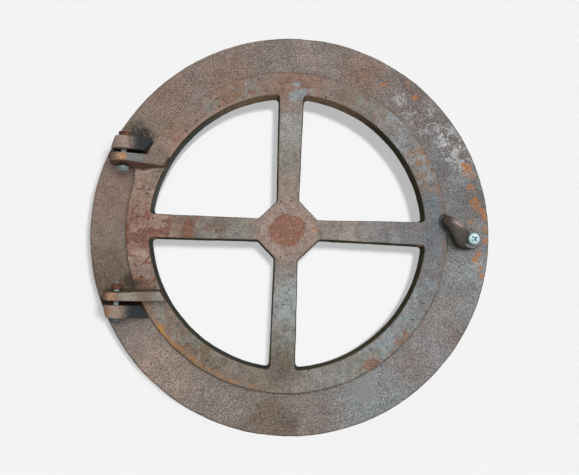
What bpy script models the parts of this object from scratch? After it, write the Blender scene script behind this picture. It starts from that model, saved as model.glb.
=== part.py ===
"""Round cast-iron opening window, lying face up: a flanged frame, a hinged sash with four bars and a turn catch.

The origin is on the floor under the centre of the flange. +Z points out of the window's face, the hinges
are on the -X side and the catch is on the +X side.
"""

import math

import bmesh
import bpy
from mathutils import Matrix, Vector

GAP = 0.0003  # left between pieces that rest on each other

# Frame casting: a flat flange round a collar that goes into the wall
FLANGE_R = 0.2000
FLANGE_BACK = 0.0220
FLANGE_FACE = 0.0300
FLANGE_EDGE = 0.0025
COLLAR_R = 0.1590
COLLAR_BORE_R = 0.1530

# Sash casting: it hangs a little off the flange's centre, as far as the play in the collar lets it,
# and its lip is cast a little off the centre of its opening
SASH_X, SASH_Y = -0.0033, 0.0028
LIP_X = SASH_X - 0.0004
SASH_LIP_R = 0.1603
SASH_FACE = 0.0335
SASH_EDGE = 0.0010
SASH_PLUG_R = 0.1478
SASH_BACK = 0.0175
OPENING_R = 0.1379
# The bars, anticlockwise from the right one, each seen along it from the hub: how far it is cast to the left,
# half its width at the centre, and how much that grows for each unit of length
BARS = [
    (0.0019, 0.0091, 0.0186),
    (0.0009, 0.0101, 0.0143),
    (-0.0004, 0.0105, 0.0095),
    (-0.0009, 0.0109, 0.0095),
]
# Where the line of each hub side meets the centre lines, anticlockwise from the upper right side
HUB_REACHES = [0.0407, 0.0410, 0.0399, 0.0393]
WALL_DRAFT = 0.075  # how much a casting wall leans for each unit of depth
RING_CORNER = 0.0035
HUB_CORNER = 0.0035

# Glazing rebate at the back of the sash
FENCE_R = 0.1443
FENCE_BACK = 0.0115
WEB_WIDTH = 0.0050
WEB_BACK = 0.0120

# Hinge line, parallel to Y
PIN_X, PIN_Z = -0.1665, 0.0445
STRAP_Y, STRAP_WIDTH, STRAP_HEAD_R = 0.0672, 0.0080, 0.0130
STRAP_HOLE_R = 0.0035
STRAP_END_X, STRAP_END_TOP = -0.1150, 0.0375
STRAP_FLARE = 0.13  # how much a strap's inner side leans out for each unit of depth
PAD_OUTER_X, PAD_INNER_X = -0.1583, -0.1500
PAD_LOW_Y, PAD_HIGH_Y = 0.0400, 0.0640
LUG_Y, LUG_WIDTH, LUG_HEAD_R = 0.0816, 0.0125, 0.0120
LUG_HOLE_R = 0.0033
LUG_OUTER_R = 0.1940  # the lugs end on this circle round the flange's centre
RIM_CLEARANCE = 0.0010

# M6 fasteners
THREAD_R = 0.00295
THREAD_HOLE_R = 0.0033
HEAD_R, HEAD_HEIGHT = 0.0060, 0.0042
NUT_FLATS, NUT_HEIGHT = 0.0100, 0.0050
UPPER_NECK, LOWER_NECK = 0.0042, 0.0030  # between strap and fastener, as the bolts aren't done up tight
BOLT_LENGTH = 0.0350
CATCH_SCREW_LENGTH = 0.0200

# Turn catch: a cast finger that arches from its screw to the sash's rim
CATCH_X, CATCH_Y = 0.1806, 0.0010
CATCH_TURN = math.radians(147)
CATCH_REACH = 0.0314
BOSS_R, BOSS_TOP = 0.0094, 0.0390
NOSE_R, NOSE_UNDERSIDE = 0.0060, 0.0345
FINGER_ROOT_R = 0.0068
NOTCH_CLEARANCE = 0.0010

RING_STEPS = 96
FASTENER_STEPS = 24
ARC_STEP = math.radians(15)
RING_ARC_STEPS = 32

IRON = (0.20, 0.175, 0.16, 1.0)
SASH_IRON = (0.23, 0.185, 0.17, 1.0)
CATCH_IRON = (0.075, 0.06, 0.05, 1.0)
ZINC = (0.62, 0.68, 0.70, 1.0)
RUST = (0.26, 0.10, 0.055, 1.0)


def clear_scene():
    for obj in list(bpy.data.objects):
        bpy.data.objects.remove(obj, do_unlink=True)


def new_collection(name, helper=False):
    collection = bpy.data.collections.new(name)
    collection.hide_render = helper
    bpy.context.scene.collection.children.link(collection)
    return collection


def make_material(name, colour, roughness, metallic):
    material = bpy.data.materials.new(name)
    material.use_nodes = True
    shader = material.node_tree.nodes["Principled BSDF"]
    shader.inputs["Base Color"].default_value = colour
    shader.inputs["Roughness"].default_value = roughness
    shader.inputs["Metallic"].default_value = metallic
    material.diffuse_color = colour
    return material


def add_object(name, mesh, collection, helper=False):
    obj = bpy.data.objects.new(name, mesh)
    obj.hide_render = helper
    obj.display_type = "WIRE" if helper else "TEXTURED"
    collection.objects.link(obj)
    return obj


def add_helper(name, mesh):
    return add_object(name, mesh, CUTTERS, helper=True)


def finish(obj, material):
    obj.data.materials.clear()
    obj.data.materials.append(material)
    obj.data.shade_smooth()
    obj.data.set_sharp_from_angle(angle=math.radians(35))


def cut(obj, cutter):
    boolean = obj.modifiers.new(f"cut {cutter.name}", "BOOLEAN")
    boolean.operation = "DIFFERENCE"
    boolean.object = cutter


def join(obj, piece):
    boolean = obj.modifiers.new(f"join {piece.name}", "BOOLEAN")
    boolean.operation = "UNION"
    boolean.object = piece


def keep(obj, piece):
    boolean = obj.modifiers.new(f"keep {piece.name}", "BOOLEAN")
    boolean.operation = "INTERSECT"
    boolean.object = piece


def turned(obj, steps):
    """Turns the profile of obj, drawn in its XZ plane, once round its Z axis."""
    screw = obj.modifiers.new("turn", "SCREW")
    screw.steps = steps
    screw.render_steps = steps
    screw.use_merge_vertices = True
    screw.merge_threshold = 0.00001
    screw.use_smooth_shade = True


def profile_mesh(name, points, closed):
    mesh = bpy.data.meshes.new(name)
    edges = [(i, i + 1) for i in range(len(points) - 1)]
    if closed:
        edges.append((len(points) - 1, 0))
    mesh.from_pydata([(r, 0.0, z) for r, z in points], edges, [])
    return mesh


def arc(centre_x, centre_y, radius, start, end, count=None):
    """Points from angle start to angle end, both included."""
    count = count or max(2, math.ceil(abs(end - start) / ARC_STEP))
    angles = [start + (end - start) * i / count for i in range(count + 1)]
    return [(centre_x + radius * math.cos(a), centre_y + radius * math.sin(a)) for a in angles]


def plate(name, outline, thickness):
    """A flat outline in the XY plane, filled and as thick as said, with its middle at z = 0."""
    curve = bpy.data.curves.new(name, "CURVE")
    curve.dimensions = "2D"
    curve.fill_mode = "BOTH"
    curve.extrude = thickness / 2
    spline = curve.splines.new("POLY")
    spline.points.add(len(outline) - 1)
    for point, (x, y) in zip(spline.points, outline):
        point.co = (x, y, 0.0, 1.0)
    spline.use_cyclic_u = True
    drawn = add_helper(name, curve)
    bpy.context.view_layer.update()
    graph = bpy.context.evaluated_depsgraph_get()
    mesh = bpy.data.meshes.new_from_object(drawn.evaluated_get(graph))
    bpy.data.objects.remove(drawn, do_unlink=True)
    bm = bmesh.new()
    bm.from_mesh(mesh)
    bmesh.ops.remove_doubles(bm, verts=bm.verts, dist=0.000001)
    bmesh.ops.recalc_face_normals(bm, faces=bm.faces)
    bm.to_mesh(mesh)
    bm.free()
    return mesh


def cylinder_mesh(name, radius, low, high, steps=FASTENER_STEPS):
    bm = bmesh.new()
    bmesh.ops.create_cone(
        bm, cap_ends=True, segments=steps, radius1=radius, radius2=radius, depth=high - low
    )
    bmesh.ops.translate(bm, vec=(0.0, 0.0, (high + low) / 2), verts=bm.verts)
    mesh = bpy.data.meshes.new(name)
    bm.to_mesh(mesh)
    bm.free()
    return mesh


def box_mesh(name, low, high):
    bm = bmesh.new()
    bmesh.ops.create_cube(bm, size=1.0)
    size = Vector(high) - Vector(low)
    middle = (Vector(high) + Vector(low)) / 2
    bmesh.ops.scale(bm, vec=size, verts=bm.verts)
    bmesh.ops.translate(bm, vec=middle, verts=bm.verts)
    mesh = bpy.data.meshes.new(name)
    bm.to_mesh(mesh)
    bm.free()
    return mesh


def along_y(mesh, y):
    """Stands a mesh drawn in the XY plane upright, so that its own Y becomes height, at the given y."""
    mesh.transform(Matrix.Translation((0.0, y, 0.0)) @ Matrix.Rotation(math.pi / 2, 4, "X"))
    return mesh


def pin_hole(name, y, radius, width):
    """A cutter for a round hole along the hinge line."""
    mesh = cylinder_mesh(name, radius, -width, width)
    along_y(mesh, 0.0)
    hole = add_helper(name, mesh)
    hole.location = (PIN_X, y, PIN_Z)
    return hole


# Frame


def frame_profile():
    edge = arc(FLANGE_R - FLANGE_EDGE, FLANGE_FACE - FLANGE_EDGE, FLANGE_EDGE, math.pi / 2, 0.0)
    return (
        [(COLLAR_BORE_R, FLANGE_FACE)]
        + edge
        + [
            (FLANGE_R - 0.0004, FLANGE_BACK),
            (COLLAR_R, FLANGE_BACK),
            (COLLAR_R - 0.0006, 0.0),
            (COLLAR_BORE_R, 0.0),
        ]
    )


def lug_outline():
    """Side view of a frame lug: a round head that slopes down to the flange towards the sash."""
    slope = math.radians(45)
    foot = FLANGE_FACE - 0.002
    head = arc(PIN_X, PIN_Z, LUG_HEAD_R, math.pi, slope)
    run = (head[-1][1] - foot) / math.tan(slope)
    return [(PIN_X - LUG_HEAD_R, foot)] + head + [(head[-1][0] + run, foot)]


def make_lug(name, y):
    lug = add_helper(name, along_y(plate(name, lug_outline(), LUG_WIDTH), y))
    rim_mesh = cylinder_mesh(f"{name}_rim", SASH_LIP_R + RIM_CLEARANCE, 0.0, 0.1, RING_STEPS)
    rim = add_helper(f"{name}_rim", rim_mesh)
    rim.location = (LIP_X, SASH_Y, 0.0)
    cut(lug, rim)
    outer_mesh = cylinder_mesh(f"{name}_outer", LUG_OUTER_R, 0.0, 0.1, RING_STEPS)
    keep(lug, add_helper(f"{name}_outer", outer_mesh))
    return lug


def make_frame():
    frame = add_object("frame", profile_mesh("frame", frame_profile(), closed=True), WINDOW)
    turned(frame, RING_STEPS)
    for side, name in ((1, "upper"), (-1, "lower")):
        join(frame, make_lug(f"{name}_lug", side * LUG_Y))
        cut(frame, pin_hole(f"{name}_lug_hole", side * LUG_Y, LUG_HOLE_R, LUG_WIDTH))
    tapped = add_helper("tapped_hole", cylinder_mesh("tapped_hole", THREAD_HOLE_R, 0.01, 0.04))
    tapped.location = (CATCH_X, CATCH_Y, 0.0)
    cut(frame, tapped)
    finish(frame, make_material("frame_iron", IRON, 0.75, 0.3))
    return frame


# Sash


def lip_profile():
    edge = arc(SASH_LIP_R - SASH_EDGE, SASH_FACE - SASH_EDGE, SASH_EDGE, math.pi / 2, 0.0)
    back = FLANGE_FACE + GAP
    return [(0.0, SASH_FACE)] + edge + [(SASH_LIP_R, back), (0.0, back)]


def plug_profile():
    """The part of the sash that drops into the collar, with the glazing rebate in its back."""
    return [
        (0.0, SASH_FACE - 0.001),
        (SASH_PLUG_R, SASH_FACE - 0.001),
        (SASH_PLUG_R - 0.0005, FENCE_BACK),
        (FENCE_R, FENCE_BACK),
        (FENCE_R, SASH_BACK),
        (0.0, SASH_BACK),
    ]


def rounded_corner(corner, before, after, radius):
    """Points of an arc that rounds a straight corner between two directions that point away from it."""
    into, out = Vector(before).normalized(), Vector(after).normalized()
    half = into.angle(out) / 2
    centre = Vector(corner) + (into + out).normalized() * radius / math.sin(half)
    start = Vector(corner) + into * radius / math.tan(half) - centre
    end = Vector(corner) + out * radius / math.tan(half) - centre
    start_angle = math.atan2(start.y, start.x)
    turn = end.angle_signed(start)
    return arc(centre.x, centre.y, radius, start_angle, start_angle + turn)


def ring_corner(side, taper, ring):
    """An arc from a bar's edge, which starts at side and leans by taper, to the ring's inner circle."""
    lean = math.atan(taper)
    start = side + RING_CORNER / math.cos(lean)
    reach = math.cos(lean) ** 2 * (
        math.sqrt((1 + taper**2) * (ring - RING_CORNER) ** 2 - start**2) - taper * start
    )
    height = start + taper * reach
    return arc(reach, height, RING_CORNER, lean - math.pi / 2, math.atan2(height, reach), 7)


def mirrored(points):
    """The same points seen from the other bar, in the opposite order."""
    return [(y, x) for x, y in reversed(points)]


def window_outline(number, inset):
    """One quarter opening between two bars, the hub and the ring, drawn in for the draft by inset."""
    offset, half, first_taper = BARS[number]
    first = half + offset + inset
    offset, half, second_taper = BARS[(number + 1) % 4]
    second = half - offset + inset
    ring = OPENING_R - inset
    hub = HUB_REACHES[number] + inset * math.sqrt(2)
    first_x = (hub - first) / (1 + first_taper)
    second_y = (hub - second) / (1 + second_taper)
    first_corner = ring_corner(first, first_taper, ring)
    second_corner = mirrored(ring_corner(second, second_taper, ring))
    ring_start = math.atan2(first_corner[-1][1], first_corner[-1][0])
    ring_end = math.atan2(second_corner[0][1], second_corner[0][0])
    return (
        rounded_corner((first_x, hub - first_x), (-1.0, 1.0), (1.0, first_taper), HUB_CORNER)
        + first_corner
        + arc(0.0, 0.0, ring, ring_start, ring_end, RING_ARC_STEPS)[1:-1]
        + second_corner
        + rounded_corner((hub - second_y, second_y), (second_taper, 1.0), (1.0, -1.0), HUB_CORNER)
    )


def make_window_cutter(number):
    """A drafted loft through the sash, wider above its face so that it also trims the straps."""
    top, bottom = SASH_FACE + 0.030, SASH_BACK - 0.010
    levels = [
        (bottom, window_outline(number, (SASH_FACE - bottom) * WALL_DRAFT)),
        (SASH_FACE, window_outline(number, 0.0)),
        (top, window_outline(number, 0.0)),
    ]
    bm = bmesh.new()
    loops = [[bm.verts.new((x, y, z)) for x, y in outline] for z, outline in levels]
    count = len(loops[0])
    for low, high in zip(loops, loops[1:]):
        for i in range(count):
            j = (i + 1) % count
            bm.faces.new((low[i], low[j], high[j], high[i]))
    bm.faces.new(list(reversed(loops[0])))
    bm.faces.new(loops[-1])
    mesh = bpy.data.meshes.new(f"window_{number}")
    bm.to_mesh(mesh)
    bm.free()
    cutter = add_helper(f"window_{number}", mesh)
    cutter.location = (SASH_X, SASH_Y, 0.0)
    cutter.rotation_euler = (0.0, 0.0, number * math.pi / 2)
    return cutter


def strap_outline():
    """Side view of a strap: a round head on the pin and a back that slopes down to the opening."""
    head = arc(PIN_X, PIN_Z, STRAP_HEAD_R, math.radians(75), math.radians(270))
    foot = PIN_Z - STRAP_HEAD_R
    return head + [(STRAP_END_X, foot), (STRAP_END_X, STRAP_END_TOP)]


def make_strap(name, side):
    """A hinge strap whose inner side leans out towards its foot."""
    mesh = along_y(plate(name, strap_outline(), STRAP_WIDTH), side * STRAP_Y)
    top = PIN_Z + STRAP_HEAD_R
    for vertex in mesh.vertices:
        if side * vertex.co.y < STRAP_Y:
            vertex.co.y -= side * STRAP_FLARE * (top - vertex.co.z)
    return add_helper(name, mesh)


def make_rim_pad():
    """The rim runs straight for a little way beside the upper strap."""
    low = (PAD_OUTER_X, PAD_LOW_Y, FLANGE_FACE + GAP)
    high = (PAD_INNER_X, PAD_HIGH_Y, SASH_FACE - 0.0001)
    return add_helper("rim_pad", box_mesh("rim_pad", low, high))


def make_web(name, along_x):
    half_length, half_width = (FENCE_R + SASH_PLUG_R) / 2, WEB_WIDTH / 2
    long_side = (half_length, half_width) if along_x else (half_width, half_length)
    low = (-long_side[0], -long_side[1], WEB_BACK)
    high = (long_side[0], long_side[1], SASH_BACK + 0.002)
    web = add_helper(name, box_mesh(name, low, high))
    web.location = (SASH_X, SASH_Y, 0.0)
    return web


def finger_outline(grow):
    """Plan of the catch's finger: the line round its root circle and its nose circle."""
    root, nose = FINGER_ROOT_R + grow, NOSE_R + grow
    lean = math.asin((root - nose) / CATCH_REACH)
    square = math.pi / 2
    return arc(CATCH_REACH, 0.0, nose, -square + lean, square - lean) + arc(
        0.0, 0.0, root, square - lean, 3 * square + lean
    )


def make_notch():
    """The rim is open under the catch's nose, so that either piece turns without the other."""
    depth = 0.006
    mesh = plate("catch_notch", finger_outline(NOTCH_CLEARANCE), depth)
    notch = add_helper("catch_notch", mesh)
    notch.location = (CATCH_X, CATCH_Y, SASH_FACE)
    notch.rotation_euler = (0.0, 0.0, CATCH_TURN)
    return notch


def make_sash(pivot):
    sash = add_object("sash", profile_mesh("sash", lip_profile(), closed=False), WINDOW)
    sash.location = (LIP_X, SASH_Y, 0.0)
    turned(sash, RING_STEPS)
    plug = add_helper("plug", profile_mesh("plug", plug_profile(), closed=False))
    plug.location = (SASH_X, SASH_Y, 0.0)
    turned(plug, RING_STEPS)
    join(sash, plug)
    for side, name in ((1, "upper"), (-1, "lower")):
        join(sash, make_strap(f"{name}_strap", side))
        cut(sash, pin_hole(f"{name}_strap_hole", side * STRAP_Y, STRAP_HOLE_R, STRAP_WIDTH))
    join(sash, make_rim_pad())
    for number in range(4):
        cut(sash, make_window_cutter(number))
    join(sash, make_web("web_x", along_x=True))
    join(sash, make_web("web_y", along_x=False))
    cut(sash, make_notch())
    finish(sash, make_material("sash_iron", SASH_IRON, 0.7, 0.3))
    ride_on(sash, pivot)
    return sash


# Fasteners


def fastener_profile(length):
    """A pan-head screw from the top of its head down, with its head's underside at z = 0."""
    dome = [(0.0, 1.0), (0.45, 0.97), (0.75, 0.82), (0.93, 0.55), (1.0, 0.25)]
    return [(HEAD_R * r, HEAD_HEIGHT * h) for r, h in dome] + [
        (HEAD_R * 0.99, 0.0),
        (THREAD_R, 0.0),
        (THREAD_R, 0.0006 - length),
        (THREAD_R - 0.0006, -length),
        (0.0, -length),
    ]


def make_recess(name):
    """The cross recess of a pan head, as two crossed bars."""
    reach, half, floor = 0.0031, 0.0006, HEAD_HEIGHT - 0.0022
    top = HEAD_HEIGHT + 0.001
    bar = add_helper(f"{name}_a", box_mesh(f"{name}_a", (-reach, -half, floor), (reach, half, top)))
    cross = add_helper(f"{name}_b", box_mesh(f"{name}_b", (-half, -reach, floor), (half, reach, top)))
    return bar, cross


def make_screw(name, length, location, rotation, material):
    screw = add_object(name, profile_mesh(name, fastener_profile(length), closed=False), WINDOW)
    turned(screw, FASTENER_STEPS)
    screw.location = location
    screw.rotation_euler = rotation
    for bar in make_recess(f"{name}_recess"):
        bar.location = location
        bar.rotation_euler = rotation
        cut(screw, bar)
    finish(screw, material)
    return screw


def make_nut(name, y, material):
    """A hexagon nut on the hinge line whose lower Y side is at y."""
    bm = bmesh.new()
    corner = NUT_FLATS / math.sqrt(3)
    bmesh.ops.create_cone(
        bm, cap_ends=True, segments=6, radius1=corner, radius2=corner, depth=NUT_HEIGHT
    )
    mesh = bpy.data.meshes.new(name)
    bm.to_mesh(mesh)
    bm.free()
    along_y(mesh, 0.0)
    nut = add_object(name, mesh, WINDOW)
    nut.location = (PIN_X, y + NUT_HEIGHT / 2, PIN_Z)
    cut(nut, pin_hole(f"{name}_hole", nut.location.y, THREAD_HOLE_R, NUT_HEIGHT))
    finish(nut, material)
    return nut


def make_hinge_fasteners():
    zinc = make_material("bolt_zinc", ZINC, 0.4, 0.8)
    rust = make_material("nut_rust", RUST, 0.85, 0.2)
    upright = (math.pi / 2, 0.0, 0.0)
    upper_head = STRAP_Y - STRAP_WIDTH / 2 - UPPER_NECK
    lower_head = -LUG_Y - LUG_WIDTH / 2 - GAP
    make_screw("upper_hinge_bolt", BOLT_LENGTH, (PIN_X, upper_head, PIN_Z), upright, zinc)
    make_screw("lower_hinge_bolt", BOLT_LENGTH, (PIN_X, lower_head, PIN_Z), upright, zinc)
    make_nut("upper_hinge_nut", LUG_Y + LUG_WIDTH / 2 + GAP, rust)
    make_nut("lower_hinge_nut", -STRAP_Y + STRAP_WIDTH / 2 + LOWER_NECK, rust)


# Catch


def catch_side():
    """Side view of the catch, from its screw at x = 0: it humps up and comes down to a blunt nose."""
    end = CATCH_REACH + NOSE_R
    over = [(-0.006, BOSS_TOP - 0.0002), (0.006, BOSS_TOP - 0.0002), (0.011, 0.0425), (0.016, 0.0445)]
    nose = [(0.023, 0.0445), (0.030, 0.0425), (0.0352, 0.0390), (end, 0.0365), (end, NOSE_UNDERSIDE)]
    under = [(0.027, NOSE_UNDERSIDE), (0.022, 0.0365), (0.016, 0.0372), (0.011, 0.0355), (0.007, 0.0325)]
    return over + nose + under + [(-0.006, 0.0325)]


def make_catch(pivot):
    boss = cylinder_mesh("catch", BOSS_R, FLANGE_FACE + GAP, BOSS_TOP, 32)
    catch = add_object("catch", boss, WINDOW)
    place = (CATCH_X, CATCH_Y, 0.0)
    turn = (0.0, 0.0, CATCH_TURN)
    side_mesh = along_y(plate("finger", list(reversed(catch_side())), 0.03), 0.0)
    finger = add_helper("finger", side_mesh)
    plan_mesh = plate("finger_plan", finger_outline(0.0), 0.04)
    plan_mesh.transform(Matrix.Translation((0.0, 0.0, BOSS_TOP)))
    plan = add_helper("finger_plan", plan_mesh)
    hole_mesh = cylinder_mesh("catch_hole", THREAD_HOLE_R, 0.02, 0.06)
    hole = add_helper("catch_hole", hole_mesh)
    head_room = add_helper("head_room", cylinder_mesh("head_room", HEAD_R + 0.0012, BOSS_TOP, 0.06))
    for piece in (catch, finger, plan, hole, head_room):
        piece.location = place
        piece.rotation_euler = turn
    keep(finger, plan)
    cut(finger, head_room)
    join(catch, finger)
    cut(catch, hole)
    finish(catch, make_material("catch_iron", CATCH_IRON, 0.65, 0.3))
    ride_on(catch, pivot)
    return catch


def make_catch_screw():
    zinc = make_material("screw_zinc", ZINC, 0.3, 0.9)
    head = (CATCH_X, CATCH_Y, BOSS_TOP + GAP)
    make_screw("catch_screw", CATCH_SCREW_LENGTH, head, (0.0, 0.0, math.radians(20)), zinc)


def make_pivot(name, location):
    """An empty on a joint's axis, which carries the piece that turns."""
    pivot = bpy.data.objects.new(name, None)
    pivot.location = location
    WINDOW.objects.link(pivot)
    return pivot


def ride_on(obj, pivot):
    bpy.context.view_layer.update()
    obj.parent = pivot
    obj.matrix_parent_inverse = pivot.matrix_world.inverted()


clear_scene()
WINDOW = new_collection("opening_window")
CUTTERS = new_collection("cutters", helper=True)
make_frame()
make_sash(make_pivot("sash_pivot", (PIN_X, 0.0, PIN_Z)))
make_hinge_fasteners()
make_catch(make_pivot("catch_pivot", (CATCH_X, CATCH_Y, 0.0)))
make_catch_screw()
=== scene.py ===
"""Looks of a round cast-iron opening window that lies face up on a pale floor, built around its CAD model.

Frame and sash are remeshed from their CAD solids, softened and made as uneven as a sand mould leaves them.
The fasteners and the catch are modelled afresh in the places that the CAD gives. All lengths are in metres.
"""

import math

import bmesh
import bpy
from mathutils import Matrix, Vector, noise


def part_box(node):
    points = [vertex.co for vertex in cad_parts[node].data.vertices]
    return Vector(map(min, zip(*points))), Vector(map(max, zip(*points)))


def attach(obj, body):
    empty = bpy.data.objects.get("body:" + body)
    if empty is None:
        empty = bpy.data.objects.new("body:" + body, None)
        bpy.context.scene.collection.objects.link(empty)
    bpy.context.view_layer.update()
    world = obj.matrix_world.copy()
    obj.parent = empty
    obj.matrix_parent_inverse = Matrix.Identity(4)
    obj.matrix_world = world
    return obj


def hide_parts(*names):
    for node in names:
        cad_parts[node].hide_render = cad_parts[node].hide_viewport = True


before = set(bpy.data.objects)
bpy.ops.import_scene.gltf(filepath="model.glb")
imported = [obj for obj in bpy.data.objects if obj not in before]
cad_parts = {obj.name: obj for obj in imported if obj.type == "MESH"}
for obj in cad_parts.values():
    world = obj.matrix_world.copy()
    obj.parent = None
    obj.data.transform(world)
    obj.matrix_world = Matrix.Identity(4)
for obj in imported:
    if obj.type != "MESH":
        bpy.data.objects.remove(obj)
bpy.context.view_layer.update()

# Places that the CAD gives
MIDDLE = Vector((0.0, 0.0))
SASH_CENTRE = Vector((-0.0033, 0.0028))
LIP_CENTRE = Vector((-0.0037, 0.0028))
LIP_R = 0.1603
OPENING_R = 0.1379
FLANGE_FACE = 0.0300
SASH_FACE = 0.0335
PIN = Vector((-0.1665, 0.0, 0.0445))
CATCH_SCREW = Vector((0.1806, 0.0010, 0.0))
CATCH_TURN = math.radians(147)
BOSS_R = 0.0094
BOSS_TOP = 0.0390
STRAP_Y, LUG_Y = 0.0672, 0.0816
GAP = 0.0003

# M6 fasteners
HEAD_R, HEAD_HEIGHT = 0.0060, 0.0042
THREAD_R, THREAD_DEPTH, PITCH = 0.00295, 0.0005, 0.0010
NUT_FLATS, NUT_HEIGHT = 0.0100, 0.0050
HOLE_R = THREAD_R + 0.0004
RECESS_R, RECESS_DEPTH = 0.0041, 0.0022
THREAD_STEPS = 8  # rows of points for each turn of a thread

COARSER = 1.0


def srgb(red, green, blue):
    """A colour as a paint chart gives it, from 0 to 255, as the linear one that shaders take."""
    parts = [value / 255 for value in (red, green, blue)]
    linear = [p / 12.92 if p <= 0.04045 else ((p + 0.055) / 1.055) ** 2.4 for p in parts]
    return (*linear, 1.0)


WARM_BROWN = srgb(132, 112, 97)
RED_BROWN = srgb(140, 108, 91)
RUST_RED = srgb(128, 88, 73)
PINK_GREY = srgb(136, 124, 116)
PALE_PINK = srgb(164, 140, 124)
PLUM = srgb(124, 106, 99)
COOL_GREY = srgb(134, 133, 131)
BLUE_GREY = srgb(112, 118, 123)
PALE_BLUE = srgb(142, 150, 152)
GREEN_GREY = srgb(134, 134, 126)
DARK_BROWN = srgb(100, 86, 74)
EARTH = srgb(112, 94, 74)
CHALK = srgb(178, 179, 178)
WHITE_LIME = srgb(206, 208, 208)
ORANGE = srgb(186, 120, 62)
OCHRE = srgb(164, 124, 88)
OLIVE = srgb(92, 82, 60)
SOOT = srgb(50, 45, 40)
BLUE_BLACK = srgb(33, 44, 52)
WALL_OLIVE = srgb(88, 82, 56)
WALL_BROWN = srgb(180, 150, 118)
WALL_GREY = srgb(92, 104, 100)
WALL_DARK = srgb(66, 66, 56)
STRAP_SIDE = srgb(128, 98, 80)


def around(angle, radius, height):
    """The place at that angle in degrees from +X, that far from the middle."""
    turn = math.radians(angle)
    return (radius * math.cos(turn), radius * math.sin(turn), height)


# Materials


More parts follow.
